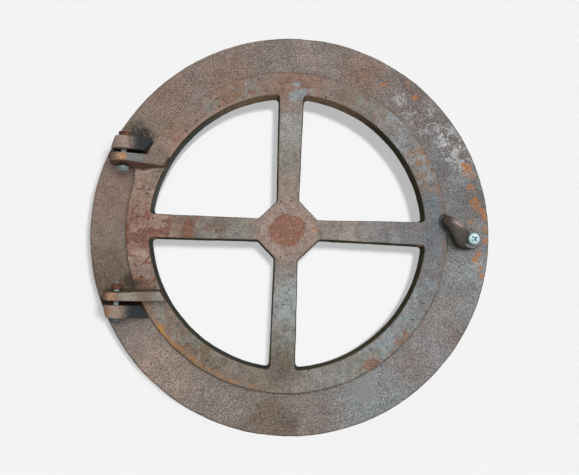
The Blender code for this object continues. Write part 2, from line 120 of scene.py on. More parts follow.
class Graph:
    """A material and the nodes that feed its shader."""

    def __init__(self, name):
        self.material = bpy.data.materials.new(name)
        self.material.use_nodes = True
        self.tree = self.material.node_tree
        self.shader = self.tree.nodes["Principled BSDF"]
        coordinates = self.tree.nodes.new("ShaderNodeTexCoord")
        self.place = coordinates.outputs["Object"]
        self.normal = coordinates.outputs["Normal"]

    def feed(self, socket, value):
        """Links a socket to another node's output, or sets it to a constant."""
        if isinstance(value, bpy.types.NodeSocket):
            self.tree.links.new(value, socket)
        else:
            socket.default_value = value

    def math(self, operation, first, second=0.0):
        node = self.tree.nodes.new("ShaderNodeMath")
        node.operation = operation
        self.feed(node.inputs[0], first)
        self.feed(node.inputs[1], second)
        return node.outputs[0]

    def vector(self, operation, first, second=(0.0, 0.0, 0.0), output=0):
        node = self.tree.nodes.new("ShaderNodeVectorMath")
        node.operation = operation
        self.feed(node.inputs[0], first)
        self.feed(node.inputs["Scale" if operation == "SCALE" else 1], second)
        return node.outputs[output]

    def ramp(self, value, low, high, bottom=0.0, top=1.0):
        """value eased from bottom, where it is low, to top, where it is high."""
        node = self.tree.nodes.new("ShaderNodeMapRange")
        node.interpolation_type = "SMOOTHSTEP"
        self.feed(node.inputs["Value"], value)
        node.inputs["From Min"].default_value = low
        node.inputs["From Max"].default_value = high
        node.inputs["To Min"].default_value = bottom
        node.inputs["To Max"].default_value = top
        return node.outputs["Result"]

    def noise(self, scale, detail=2.0, roughness=0.5, output="Fac", shift=0.0):
        """Noise with that many swells per metre; shift takes another part of the same noise."""
        node = self.tree.nodes.new("ShaderNodeTexNoise")
        place = self.place
        if shift:
            place = self.vector("ADD", place, (shift, shift, 0.0))
        self.feed(node.inputs["Vector"], place)
        node.inputs["Scale"].default_value = scale
        node.inputs["Detail"].default_value = detail
        node.inputs["Roughness"].default_value = roughness
        return node.outputs[output]

    def cells(self, scale, place):
        """Distance from the nearest of a crowd of scattered points, as a share of their spacing."""
        node = self.tree.nodes.new("ShaderNodeTexVoronoi")
        self.feed(node.inputs["Vector"], place)
        node.inputs["Scale"].default_value = scale
        return node.outputs["Distance"]

    def warped(self, scale, reach, detail=3.0):
        """The place on the object, pushed about by noise."""
        push = self.vector("SUBTRACT", self.noise(scale, detail, output="Color"), (0.5, 0.5, 0.5))
        return self.vector("ADD", self.place, self.vector("SCALE", push, reach))

    def mix(self, share, first, second):
        """A mix of two colours, whose sockets have to be found by number among those for other types."""
        node = self.tree.nodes.new("ShaderNodeMix")
        node.data_type = "RGBA"
        self.feed(node.inputs[0], share)
        self.feed(node.inputs[6], first)
        self.feed(node.inputs[7], second)
        return node.outputs[2]

    def near(self, centre, size, softness, place=None):
        """1 at centre and 0 past size, over a soft edge that takes up that share of it."""
        distance = self.vector("DISTANCE", place or self.place, tuple(centre), output="Value")
        return self.ramp(distance, size * (1.0 - softness), size, 1.0, 0.0)

    def stained(self, colour, stains, height, place):
        """Lays soft stains on a face: each is (angle in degrees, radius, size, strength, colour)."""
        for angle, radius, size, strength, tint in stains:
            area = self.near(around(angle, radius, height), size, 0.85, place)
            colour = self.tinted(colour, tint, strength, area)
        return colour

    def facing(self, x, y, low, high):
        """1 on walls that face that way in plan."""
        towards = self.vector("DOT_PRODUCT", self.normal, (x, y, 0.0), output="Value")
        return self.ramp(towards, low, high)

    def islands(self, scale, share, shift=0.0):
        """Crisp patches like those on a map; the greater share is, the less of the surface they take."""
        return self.ramp(self.noise(scale, 6.0, 0.62, shift=shift), share, share + 0.035)

    def tinted(self, colour, tint, strength, *masks):
        """Lays a tint on colour where all the masks are 1."""
        return self.mix(self.math("MULTIPLY", self.all_of(*masks), strength), colour, tint)

    def streak(self, start, end, half_width, place):
        """1 along a straight line in plan, and 0 half_width to either side."""
        start, end = Vector((*start, 0.0)), Vector((*end, 0.0))
        along = (end - start).normalized()
        across = Vector((-along.y, along.x, 0.0))
        sideways = self.vector("DOT_PRODUCT", place, tuple(across), output="Value")
        off = self.math("ABSOLUTE", self.math("SUBTRACT", sideways, start.dot(across)))
        reach = self.vector("DOT_PRODUCT", place, tuple(along), output="Value")
        low, high, fade = start.dot(along), end.dot(along), 0.002
        return self.all_of(
            self.ramp(off, 0.0, half_width, 1.0, 0.0),
            self.ramp(reach, low - fade, low + fade),
            self.ramp(reach, high - fade, high + fade, 1.0, 0.0),
        )

    def spotted(self, colour, spots, height, tint, strength, place):
        """Lays crisp spots on a face: each is (angle in degrees, radius, size)."""
        for angle, radius, size in spots:
            area = self.near(around(angle, radius, height), size, 0.35, place)
            colour = self.tinted(colour, tint, strength, area)
        return colour

    def ring(self, centre, radius, half_width, place=None):
        """1 on a circle in plan, and 0 half_width to either side."""
        off = self.math("ABSOLUTE", self.math("SUBTRACT", self.reach(centre, place), radius))
        return self.ramp(off, 0.0, half_width, 1.0, 0.0)

    def reach(self, centre, place=None):
        """Distance from centre in plan."""
        flat = self.vector("MULTIPLY", place or self.place, (1.0, 1.0, 0.0))
        return self.vector("DISTANCE", flat, (centre.x, centre.y, 0.0), output="Value")

    def part(self, axis, source=None):
        """One part of a vector, which is the place unless another is given."""
        node = self.tree.nodes.new("ShaderNodeSeparateXYZ")
        self.feed(node.inputs[0], source or self.place)
        return node.outputs[axis]

    def level(self, low, high):
        """0 at the height low and 1 at high, which may be the lower of the two."""
        return self.ramp(self.part("Z"), low, high)

    def opposite(self, share):
        return self.math("SUBTRACT", 1.0, share)

    def all_of(self, *shares):
        """The product of the shares."""
        found = shares[0]
        for share in shares[1:]:
            found = self.math("MULTIPLY", found, share)
        return found

    def upright(self, low, high):
        """1 on walls and 0 on faces that point up or down."""
        slope = self.math("ABSOLUTE", self.part("Z", self.normal))
        return self.ramp(slope, low, high, 1.0, 0.0)

    def bump(self, height, depth, strength):
        node = self.tree.nodes.new("ShaderNodeBump")
        node.inputs["Strength"].default_value = strength
        node.inputs["Distance"].default_value = depth
        self.feed(node.inputs["Height"], height)
        self.feed(self.shader.inputs["Normal"], node.outputs["Normal"])

    def finish(self, colour, roughness, metallic, specular):
        self.feed(self.shader.inputs["Base Color"], colour)
        self.feed(self.shader.inputs["Roughness"], roughness)
        self.shader.inputs["Metallic"].default_value = metallic
        self.shader.inputs["Specular IOR Level"].default_value = specular
        return self.material


# Stains on the flange: angle from +X, radius, size, strength and colour
FLANGE_STAINS = [
    (0, 0.185, 0.080, 0.9, COOL_GREY),
    (35, 0.185, 0.060, 0.9, srgb(116, 112, 110)),
    (-40, 0.185, 0.080, 0.9, srgb(140, 138, 137)),
    (-65, 0.185, 0.070, 0.9, COOL_GREY),
    (-15, 0.185, 0.050, 0.7, PALE_BLUE),
    (-60, 0.188, 0.060, 0.5, PALE_BLUE),
    (15, 0.180, 0.040, 0.8, BLUE_GREY),
    (12, 0.188, 0.026, 0.7, srgb(110, 102, 96)),
    (28, 0.170, 0.026, 0.5, BLUE_GREY),
    (30, 0.192, 0.030, 0.4, PLUM),
    (50, 0.180, 0.050, 0.9, srgb(118, 103, 98)),
    (68, 0.176, 0.032, 0.8, RED_BROWN),
    (86, 0.182, 0.026, 0.3, PALE_PINK),
    (102, 0.186, 0.034, 0.6, srgb(124, 108, 100)),
    (114, 0.174, 0.040, 0.7, RED_BROWN),
    (133, 0.186, 0.050, 0.7, RED_BROWN),
    (150, 0.190, 0.050, 0.9, WARM_BROWN),
    (160, 0.176, 0.040, 0.5, PALE_PINK),
    (172, 0.185, 0.060, 0.6, RED_BROWN),
    (190, 0.188, 0.050, 0.8, WARM_BROWN),
    # Beside the lower hinge: a darker stain, partly painted shade from the strap
    (196, 0.190, 0.046, 0.9, srgb(104, 86, 68)),
    (152, 0.198, 0.030, 0.7, EARTH),
    (228, 0.185, 0.060, 0.6, PALE_PINK),
    (250, 0.185, 0.040, 0.4, PINK_GREY),
    (266, 0.185, 0.034, 0.8, EARTH),
    (270, 0.188, 0.018, 0.7, DARK_BROWN),
    (-77, 0.184, 0.022, 0.4, PLUM),
    (-45, 0.178, 0.030, 0.5, PLUM),
    (-31, 0.190, 0.024, 0.5, PLUM),
    (-18, 0.180, 0.024, 0.4, PLUM),
]

# Orange rust on the flange: angle from +X, radius and size
RUST_SPOTS = [
    (23, 0.189, 0.0050),
    (22, 0.191, 0.0052),
    (20, 0.192, 0.0042),
    (17, 0.187, 0.0046),
    (16, 0.190, 0.0030),
    (12, 0.188, 0.0052),
    (11, 0.190, 0.0036),
    (10, 0.186, 0.0036),
    (9, 0.194, 0.0046),
    (7, 0.197, 0.0046),
    (6, 0.182, 0.0034),
    (3, 0.197, 0.0046),
    (0, 0.197, 0.0050),
    (-4, 0.190, 0.0044),
    (-6, 0.187, 0.0040),
    (-8, 0.193, 0.0036),
    (-10, 0.196, 0.0034),
    (50, 0.188, 0.0032),
    (54, 0.194, 0.0036),
    (60, 0.179, 0.0030),
]


def sandy(graph, colour, grain, place):
    """Blotches, then the grain of the sand it was cast in, weaker on the smooth left side."""
    left = graph.ramp(graph.part("X", place), -0.11, -0.17)
    mottle = graph.ramp(graph.noise(70.0, 6.0, 0.7), 0.30, 0.70, 0.82, 1.18)
    colour = graph.vector("SCALE", colour, mottle)
    colour = graph.tinted(colour, PLUM, 0.45, graph.ramp(graph.noise(170.0, 5.0, 0.75), 0.50, 0.64))
    pale = graph.ramp(graph.noise(210.0, 5.0, 0.75, shift=3.0), 0.52, 0.66)
    colour = graph.tinted(colour, PALE_BLUE, 0.32, pale)
    coarse = graph.noise(430.0, 3.0, 0.65, shift=9.0)
    coarse = graph.ramp(coarse, 0.34, 0.68, -0.22, 0.26)
    swing = graph.math("ADD", graph.ramp(grain, 0.34, 0.68, -0.50, 0.60), coarse)
    calm = graph.opposite(graph.math("MULTIPLY", left, 0.35))
    swing = graph.math("MULTIPLY", swing, calm)
    colour = graph.vector("SCALE", colour, graph.math("ADD", swing, 1.0))
    flecks = graph.ramp(graph.noise(560.0, 3.0, 0.65, shift=7.0), 0.60, 0.68)
    colour = graph.tinted(colour, CHALK, 0.42, flecks)
    lower_left = graph.near((-0.115, -0.140, FLANGE_FACE), 0.110, 0.6, place)
    return graph.tinted(colour, CHALK, 0.40, flecks, lower_left)


def scuffed(graph, colour, place):
    """Smooth rubbed patches, and chalky scuffs on the upper right and beside the catch."""
    for x, y, size in ((0.078, -0.153, 0.015), (-0.098, 0.132, 0.010)):
        rubbed = graph.near((x, y, FLANGE_FACE), size, 0.4, graph.warped(90.0, 0.012))
        colour = graph.tinted(colour, srgb(146, 145, 144), 0.62, rubbed)
    clouds = graph.ramp(graph.noise(85.0, 5.0, 0.7, shift=1.5), 0.40, 0.62, -0.08, 0.10)
    specks = graph.math("ADD", graph.noise(480.0, 4.0, 0.75, shift=1.5), clouds)
    scuffs = graph.ramp(specks, 0.50, 0.60)
    for x, y, size, strength in (
        (0.159, 0.095, 0.023, 0.95),
        (0.151, 0.107, 0.017, 0.85),
        (0.130, 0.122, 0.026, 0.7),
        (0.170, 0.072, 0.020, 0.7),
        (0.104, 0.136, 0.020, 0.6),
        (0.172, 0.018, 0.005, 1.0),
        (0.180, -0.026, 0.018, 0.6),
    ):
        area = graph.near((x, y, FLANGE_FACE), size, 0.85, place)
        colour = graph.tinted(colour, WHITE_LIME, strength, area, scuffs)
    return colour


def hinge_dirt_and_shadow(graph, colour):
    """Porous dirt beside the upper lug, painted shadow in the gaps between the straps and the lugs, and a
    stain beside the sash's rim.
    """
    pores = graph.noise(330.0, 4.0, 0.7, shift=11.0)
    for x, y, size, strength in (
        (-0.152, 0.092, 0.016, 0.9),
        (-0.146, 0.088, 0.013, 0.9),
        (-0.159, 0.094, 0.012, 0.6),
        (-0.156, 0.102, 0.011, 0.5),
    ):
        dirty = graph.near((x, y, FLANGE_FACE), size, 0.8, graph.warped(160.0, 0.012))
        porous = graph.ramp(pores, 0.38, 0.50, 0.35, 1.0)
        colour = graph.tinted(colour, srgb(46, 45, 42), strength, dirty, porous)
        colour = graph.tinted(colour, CHALK, 0.55, dirty, graph.ramp(pores, 0.39, 0.33))
    for gap_y in (0.0732, -0.0732):
        # Painted shadow, near black, in the gap between each strap and its lug
        gap_shadow = graph.streak((-0.190, gap_y), (-0.143, gap_y), 0.0060, graph.place)
        colour = graph.tinted(colour, srgb(26, 24, 22), 0.95, graph.ramp(gap_shadow, 0.0, 0.6))
    stain = graph.near((-0.1560, -0.0520, FLANGE_FACE), 0.0130, 0.7, graph.warped(200.0, 0.006))
    return graph.tinted(colour, srgb(70, 60, 48), 0.9, stain)


def lug_iron(graph, colour, high):
    """Brown lugs, with ochre on the lower one's head, blue-black slopes and painted shade on the inner
    sides that face the straps.
    """
    lug_grain = graph.ramp(graph.noise(420.0, 4.0, 0.7), 0.3, 0.7, 0.70, 1.30)
    lug = graph.vector("SCALE", srgb(156, 136, 122)[:3], lug_grain)
    colour = graph.mix(high, colour, lug)
    ochre = graph.near((PIN.x - 0.005, -LUG_Y, 0.054), 0.008, 0.8, graph.warped(200.0, 0.008))
    colour = graph.tinted(colour, OCHRE, 0.8, high, ochre)
    ragged = graph.ramp(graph.noise(380.0, 4.0, 0.75), 0.3, 0.7, -0.0022, 0.0022)
    reach = graph.math("ADD", graph.part("X"), ragged)
    slope = graph.ramp(reach, PIN.x + 0.0030, PIN.x + 0.0150)
    colour = graph.tinted(colour, BLUE_BLACK, 0.95, high, slope)
    # Painted shade on each lug's inner side, which faces its strap
    inward = graph.math("MULTIPLY", graph.part("Y", graph.normal), graph.part("Y"))
    shaded_inner_side = graph.ramp(inward, -0.030, -0.065)
    foot = graph.level(0.0520, 0.0440)
    return graph.tinted(colour, srgb(30, 26, 22), 0.9, high, shaded_inner_side, foot)


def rim_shade_and_edges(graph, colour, high):
    """Painted shade along the sash's rim, with painted light beside it at the upper left where that shade
    fades, and olive-brown on the walls and the outer edge.
    """
    # Painted shade in the crevice under the sash's rim, uneven, fading at the upper left
    rim_crevice_shade = graph.ring(LIP_CENTRE, LIP_R + 0.0004, 0.0018)
    uneven_shade = graph.ramp(graph.noise(60.0, 3.0), 0.35, 0.6, 0.15, 1.0)
    faint = graph.near((-0.110, 0.115, FLANGE_FACE), 0.075, 0.5)
    colour = graph.tinted(colour, DARK_BROWN, 0.8, rim_crevice_shade, uneven_shade, graph.opposite(faint))
    # Painted light on the flange beside the rim at the upper left, which hides its shade there
    painted_light_beside_rim = graph.ring(LIP_CENTRE, LIP_R + 0.0006, 0.0030)
    colour = graph.tinted(colour, PALE_PINK, 0.6, painted_light_beside_rim, faint, graph.opposite(high))
    outline = graph.ring(MIDDLE, 0.2004, 0.0030)
    mossy = graph.near((-0.130, 0.150, FLANGE_FACE), 0.130, 0.5)
    rim_colour = graph.mix(graph.ramp(graph.part("X"), -0.20, -0.10), srgb(134, 106, 84), OLIVE)
    rim_colour = graph.mix(mossy, rim_colour, srgb(118, 112, 66))
    colour = graph.tinted(colour, rim_colour, 0.75, graph.ramp(outline, 0.0, 0.6))
    walls = graph.all_of(graph.upright(0.35, 0.9), graph.opposite(high))
    return graph.mix(walls, colour, rim_colour)


def make_frame_iron():
    graph = Graph("frame_iron")
    place = graph.warped(45.0, 0.030)
    grain = graph.noise(900.0, 2.0, 0.6)
    colour = graph.stained(PINK_GREY, FLANGE_STAINS, FLANGE_FACE, place)
    colour = sandy(graph, colour, grain, place)
    colour = scuffed(graph, colour, place)

    # Crumbly orange rust, most of it along the right edge
    spots = graph.spotted(colour, RUST_SPOTS, FLANGE_FACE, ORANGE, 0.95, graph.warped(260.0, 0.010))
    crumbs = graph.ramp(graph.noise(480.0, 3.0, 0.65, shift=5.0), 0.42, 0.52)
    colour = graph.mix(crumbs, colour, spots)

    colour = hinge_dirt_and_shadow(graph, colour)
    high = graph.level(FLANGE_FACE + 0.0005, FLANGE_FACE + 0.0030)
    colour = lug_iron(graph, colour, high)
    colour = rim_shade_and_edges(graph, colour, high)

    roughness = graph.ramp(grain, 0.3, 0.7, 0.85, 0.62)
    graph.bump(grain, 0.0004, 0.5)
    return graph.finish(colour, roughness, 0.0, 0.3)


# Stains on the sash: angle from +X, radius, size, strength and colour
SASH_STAINS = [
    (0, 0.150, 0.050, 0.9, BLUE_GREY),
    (-3, 0.118, 0.030, 0.8, srgb(116, 115, 119)),
    (-32, 0.150, 0.045, 0.8, srgb(134, 138, 138)),
    (-15, 0.150, 0.030, 0.7, srgb(122, 122, 122)),
    (-60, 0.150, 0.050, 0.9, GREEN_GREY),
    (25, 0.152, 0.030, 0.8, WARM_BROWN),
    (45, 0.150, 0.035, 0.7, COOL_GREY),
    (65, 0.150, 0.040, 0.7, WARM_BROWN),
    (90, 0.150, 0.045, 0.9, RED_BROWN),
    (115, 0.150, 0.050, 0.9, RED_BROWN),
    (145, 0.150, 0.055, 0.9, RED_BROWN),
    (180, 0.150, 0.070, 0.9, srgb(148, 118, 101)),
    (212, 0.150, 0.045, 0.9, WARM_BROWN),
    (235, 0.148, 0.050, 0.9, EARTH),
    (262, 0.148, 0.045, 0.8, srgb(122, 112, 98)),
    (180, 0.085, 0.045, 0.9, srgb(120, 104, 92)),
    (180, 0.054, 0.016, 0.8, GREEN_GREY),
    (180, 0.104, 0.018, 0.7, EARTH),
    (180, 0.128, 0.018, 0.6, PALE_PINK),
    (88, 0.090, 0.060, 0.8, srgb(146, 142, 134)),
    (87, 0.106, 0.026, 0.7, srgb(146, 144, 140)),
    (90, 0.045, 0.026, 0.6, PALE_PINK),
    (-92, 0.068, 0.040, 0.9, srgb(148, 156, 155)),
    (-92, 0.108, 0.026, 0.9, srgb(122, 124, 118)),
    (-91, 0.130, 0.026, 1.0, srgb(108, 100, 88)),
    (0, 0.060, 0.034, 0.8, srgb(160, 148, 142)),
    (0, 0.086, 0.024, 0.7, srgb(140, 134, 134)),
    (0, 0.108, 0.026, 0.8, srgb(122, 121, 123)),
    (15, 0.150, 0.028, 0.9, srgb(106, 116, 122)),
    (-75, 0.150, 0.040, 0.7, srgb(140, 140, 134)),
]

# Crisp patches on the sash, with the same columns
SASH_PATCHES = [
    (180, 0.150, 0.080, 0.95, RUST_RED),
    (196, 0.156, 0.030, 0.90, PALE_PINK),
    (165, 0.147, 0.026, 0.70, PALE_PINK),
    (122, 0.150, 0.016, 0.80, GREEN_GREY),
    (110, 0.152, 0.018, 0.80, GREEN_GREY),
    (88, 0.141, 0.016, 0.90, PALE_BLUE),
    (62, 0.148, 0.018, 0.80, GREEN_GREY),
    (45, 0.150, 0.026, 0.80, PALE_BLUE),
    (12, 0.150, 0.024, 0.70, srgb(112, 122, 128)),
    (-36, 0.150, 0.060, 0.85, PALE_BLUE),
    (-42, 0.155, 0.012, 0.90, RED_BROWN),
    (-57, 0.156, 0.014, 0.90, RED_BROWN),
    (218, 0.146, 0.040, 0.60, GREEN_GREY),
    (240, 0.146, 0.030, 0.50, GREEN_GREY),
    (22, 0.154, 0.014, 0.60, OCHRE),
    (33, 0.152, 0.014, 0.50, OCHRE),
    (28, 0.148, 0.020, 0.70, PALE_BLUE),
    (-15, 0.150, 0.030, 0.60, BLUE_GREY),
    (0, 0.060, 0.024, 0.60, PINK_GREY),
    (0, 0.090, 0.026, 0.30, PALE_BLUE),
    (90, 0.070, 0.040, 0.50, PINK_GREY),
    (92, 0.110, 0.020, 0.25, CHALK),
    (180, 0.070, 0.030, 0.60, GREEN_GREY),
    (-90, 0.075, 0.030, 0.35, CHALK),
    (-90, 0.110, 0.022, 0.50, EARTH),
    (52, 0.150, 0.030, 0.60, PINK_GREY),
    (140, 0.150, 0.024, 0.35, PALE_PINK),
    (150, 0.146, 0.024, 0.40, GREEN_GREY),
]


def hub_rust(graph, colour, place):
    """A pale rim round a patch of bare rust, and two spots beside it."""
    hub = (SASH_CENTRE.x - 0.0010, SASH_CENTRE.y + 0.0010, SASH_FACE)
    fine = graph.warped(110.0, 0.012)
    colour = graph.tinted(colour, srgb(160, 138, 128), 0.85, graph.near(hub, 0.036, 0.35, place))
    patch = graph.vector("SUBTRACT", graph.warped(70.0, 0.016, 5.0), hub)
    patch = graph.vector("MULTIPLY", patch, (1.0, 1.14, 1.0))
    colour = graph.tinted(colour, srgb(142, 99, 81), 0.95, graph.near((0.0, 0.0, 0.0), 0.0196, 0.10, patch))
    spot = (hub[0] + 0.0285, hub[1] + 0.0018, SASH_FACE)
    colour = graph.tinted(colour, ORANGE, 0.65, graph.near(spot, 0.0046, 0.8, fine))
    spot = (hub[0] + 0.0335, hub[1] - 0.0008, SASH_FACE)
    return graph.tinted(colour, srgb(112, 106, 92), 0.8, graph.near(spot, 0.0036, 0.5, fine))


def rim_rust(graph, colour):
    """Orange streaks along the lower left of the rim, and rust along its right."""
    rim = graph.ring(LIP_CENTRE, 0.1572, 0.0046, graph.warped(80.0, 0.005))
    lower_left = graph.near((-0.105, -0.120, SASH_FACE), 0.100, 0.4)
    streaks = graph.ramp(graph.noise(75.0, 5.0, 0.65), 0.38, 0.52)
    colour = graph.tinted(colour, srgb(168, 122, 78), 0.85, lower_left, rim, streaks)
    ragged = graph.warped(180.0, 0.006)
    for x, y, size in ((-0.1262, -0.0980, 0.0055), (-0.1225, -0.1040, 0.0050), (-0.1140, -0.1130, 0.0040)):
        spot = graph.near((x, y, SASH_FACE), size, 0.5, ragged)
        colour = graph.tinted(colour, srgb(186, 132, 72), 0.85, spot)
    right = graph.near((0.155, 0.010, SASH_FACE), 0.090, 0.5)
    streaks = graph.ramp(graph.noise(90.0, 5.0, 0.65), 0.45, 0.58)
    return graph.tinted(colour, RED_BROWN, 0.6, right, rim, streaks)


def strap_backs(graph, lower_one):
    """The straps from above: an orange patch near the pin, then grey, then brown."""
    ragged = graph.warped(220.0, 0.008)
    middle = graph.mix(lower_one, srgb(120, 123, 122), srgb(150, 141, 126))
    along = graph.part("X", ragged)
    strap_colour = graph.mix(graph.ramp(along, -0.163, -0.157), WARM_BROWN, middle)
    strap_colour = graph.mix(graph.ramp(along, -0.150, -0.142), strap_colour, srgb(126, 110, 98))
    for x, y, size in ((-0.1655, STRAP_Y, 0.0065), (-0.1700, -STRAP_Y, 0.0085)):
        patch = graph.near((x, y, 0.0570), size, 0.7, ragged)
        crumbs = graph.ramp(graph.noise(330.0, 4.0, 0.7, shift=4.0), 0.40, 0.56, 0.25, 1.0)
        strap_colour = graph.tinted(strap_colour, srgb(196, 146, 106), 0.9, patch, crumbs)
    lower_end = graph.near((-0.128, -STRAP_Y, 0.040), 0.010, 0.6, ragged)
    strap_colour = graph.tinted(strap_colour, srgb(144, 142, 132), 0.8, lower_end)
    strap_pit = graph.near((-0.1335, -STRAP_Y, 0.0425), 0.0016, 0.5)
    strap_colour = graph.tinted(strap_colour, SOOT, 0.8, strap_pit)
    strap_grain = graph.ramp(graph.noise(420.0, 5.0, 0.7), 0.3, 0.7, 0.70, 1.30)
    return graph.vector("SCALE", strap_colour, strap_grain)


def sash_walls(graph, strap, lower_one):
    """Olive walls, but dark where they face up and right and pale brown where they face down, with painted
    light on the lip's wall at the upper left and painted shade on the lower strap's inner side.
    """
    wall = graph.mix(graph.facing(0.7, 0.7, 0.2, 0.8), WALL_OLIVE, WALL_DARK)
    upper_left_wall = graph.mix(graph.level(0.0255, 0.0295), WALL_GREY, srgb(96, 82, 68))
    wall = graph.mix(graph.facing(0.77, -0.64, 0.55, 0.95), wall, upper_left_wall)
    reach = graph.reach(SASH_CENTRE)
    arched = graph.ramp(reach, 0.128, 0.134)
    wall = graph.mix(graph.all_of(arched, graph.facing(0.0, -1.0, 0.74, 0.97)), wall, WALL_BROWN)
    # Painted light pales the lip's outer wall at the upper left
    lit_upper_left_lip = graph.facing(-0.64, 0.77, 0.75, 0.95)
    lip_wall = graph.mix(lit_upper_left_lip, srgb(98, 82, 68), srgb(150, 122, 106))
    wall = graph.mix(graph.ramp(reach, 0.142, 0.146), wall, lip_wall)
    barred = graph.ramp(reach, 0.122, 0.118)
    wall = graph.mix(graph.all_of(barred, graph.facing(1.0, 0.0, 0.6, 0.9)), wall, srgb(74, 88, 82))
    wall = graph.mix(graph.all_of(barred, graph.facing(-1.0, 0.0, 0.6, 0.9)), wall, srgb(104, 78, 50))
    # Painted shade on the lower strap's side that faces the upper one
    shaded_lower_inside = graph.all_of(lower_one, graph.facing(0.0, 1.0, 0.3, 0.7))
    strap_side = graph.mix(shaded_lower_inside, STRAP_SIDE, srgb(84, 70, 58))
    wall = graph.mix(graph.all_of(strap, graph.ramp(reach, 0.132, 0.136)), wall, strap_side)
    return graph.vector("SCALE", wall, graph.ramp(graph.noise(180.0, 4.0, 0.65), 0.3, 0.7, 0.75, 1.25))


def strap_feet(graph, colour):
    """Pale dust at the foot of the upper strap, and painted shade in the corners at the lower one."""
    low = graph.level(SASH_FACE + 0.0022, SASH_FACE + 0.0012)
    foot = graph.streak((-0.157, 0.0545), (-0.129, 0.0605), 0.0022, graph.warped(150.0, 0.004))
    dust = graph.ramp(graph.noise(300.0, 3.0, 0.6), 0.34, 0.50, 0.35, 1.0)
    colour = graph.tinted(colour, srgb(206, 190, 172), 0.9, foot, low, dust)
    # Painted shade along the lower strap's foot and in the corner by its pad
    corner = graph.streak((-0.156, -0.0585), (-0.130, -0.0595), 0.0028, graph.warped(150.0, 0.004))
    colour = graph.tinted(colour, srgb(78, 68, 58), 0.7, corner, low)
    pad_corner_shade = graph.near((-0.1490, -0.0545, SASH_FACE), 0.0060, 0.7, graph.warped(200.0, 0.006))
    return graph.tinted(colour, srgb(58, 50, 42), 0.8, pad_corner_shade, low)


def make_sash_iron():
    graph = Graph("sash_iron")
    place = graph.warped(60.0, 0.018)
    colour = graph.stained(PINK_GREY, SASH_STAINS, SASH_FACE, place)
    for number, (angle, radius, size, strength, tint) in enumerate(SASH_PATCHES):
        region = graph.near(around(angle, radius, SASH_FACE), size, 0.35, place)
        islands = graph.islands(75.0, 0.49, shift=0.37 * number + 0.1)
        colour = graph.tinted(colour, tint, strength, region, islands)
    colour = hub_rust(graph, colour, place)

    # Blotches, grain and pale flecks
    mottle = graph.ramp(graph.noise(110.0, 6.0, 0.7), 0.32, 0.68, 0.82, 1.20)
    colour = graph.vector("SCALE", colour, mottle)
    colour = graph.tinted(colour, RED_BROWN, 0.35, graph.ramp(graph.noise(280.0, 4.0, 0.7), 0.52, 0.66))
    grain = graph.noise(820.0, 3.0, 0.7)
    colour = graph.vector("SCALE", colour, graph.ramp(grain, 0.32, 0.70, 0.66, 1.46))
    flecks = graph.ramp(graph.noise(520.0, 3.0, 0.6, shift=7.0), 0.62, 0.70)
    colour = graph.tinted(colour, CHALK, 0.50, flecks)
    colour = rim_rust(graph, colour)

    # Pits in the casting, with soot in them
    pit = graph.ramp(graph.cells(150.0, graph.warped(300.0, 0.003)), 0.09, 0.17, 1.0, 0.0)
    pits = graph.all_of(pit, graph.ramp(graph.noise(40.0, 3.0, shift=2.0), 0.46, 0.54))
    colour = graph.tinted(colour, SOOT, 0.9, pits)

    # A pale edge round the upper left opening: a painted highlight where its rounded edge catches the light
    edge = graph.ring(SASH_CENTRE, OPENING_R + 0.0016, 0.0024)
    highlit_upper_left = graph.near((-0.105, 0.105, SASH_FACE), 0.075, 0.5)
    colour = graph.tinted(colour, PALE_PINK, 0.75, edge, highlit_upper_left)

    strap = graph.level(SASH_FACE + 0.0008, SASH_FACE + 0.0025)
    lower_one = graph.ramp(graph.part("Y"), 0.01, -0.01)
    colour = graph.mix(strap, colour, strap_backs(graph, lower_one))
    colour = graph.mix(graph.upright(0.55, 0.96), colour, sash_walls(graph, strap, lower_one))
    colour = strap_feet(graph, colour)

    roughness = graph.ramp(grain, 0.3, 0.7, 0.8, 0.58)
    relief = graph.math("SUBTRACT", graph.math("MULTIPLY", grain, 0.6), graph.math("MULTIPLY", pits, 1.5))
    graph.bump(relief, 0.0005, 0.7)
    return graph.finish(colour, roughness, 0.0, 0.3)


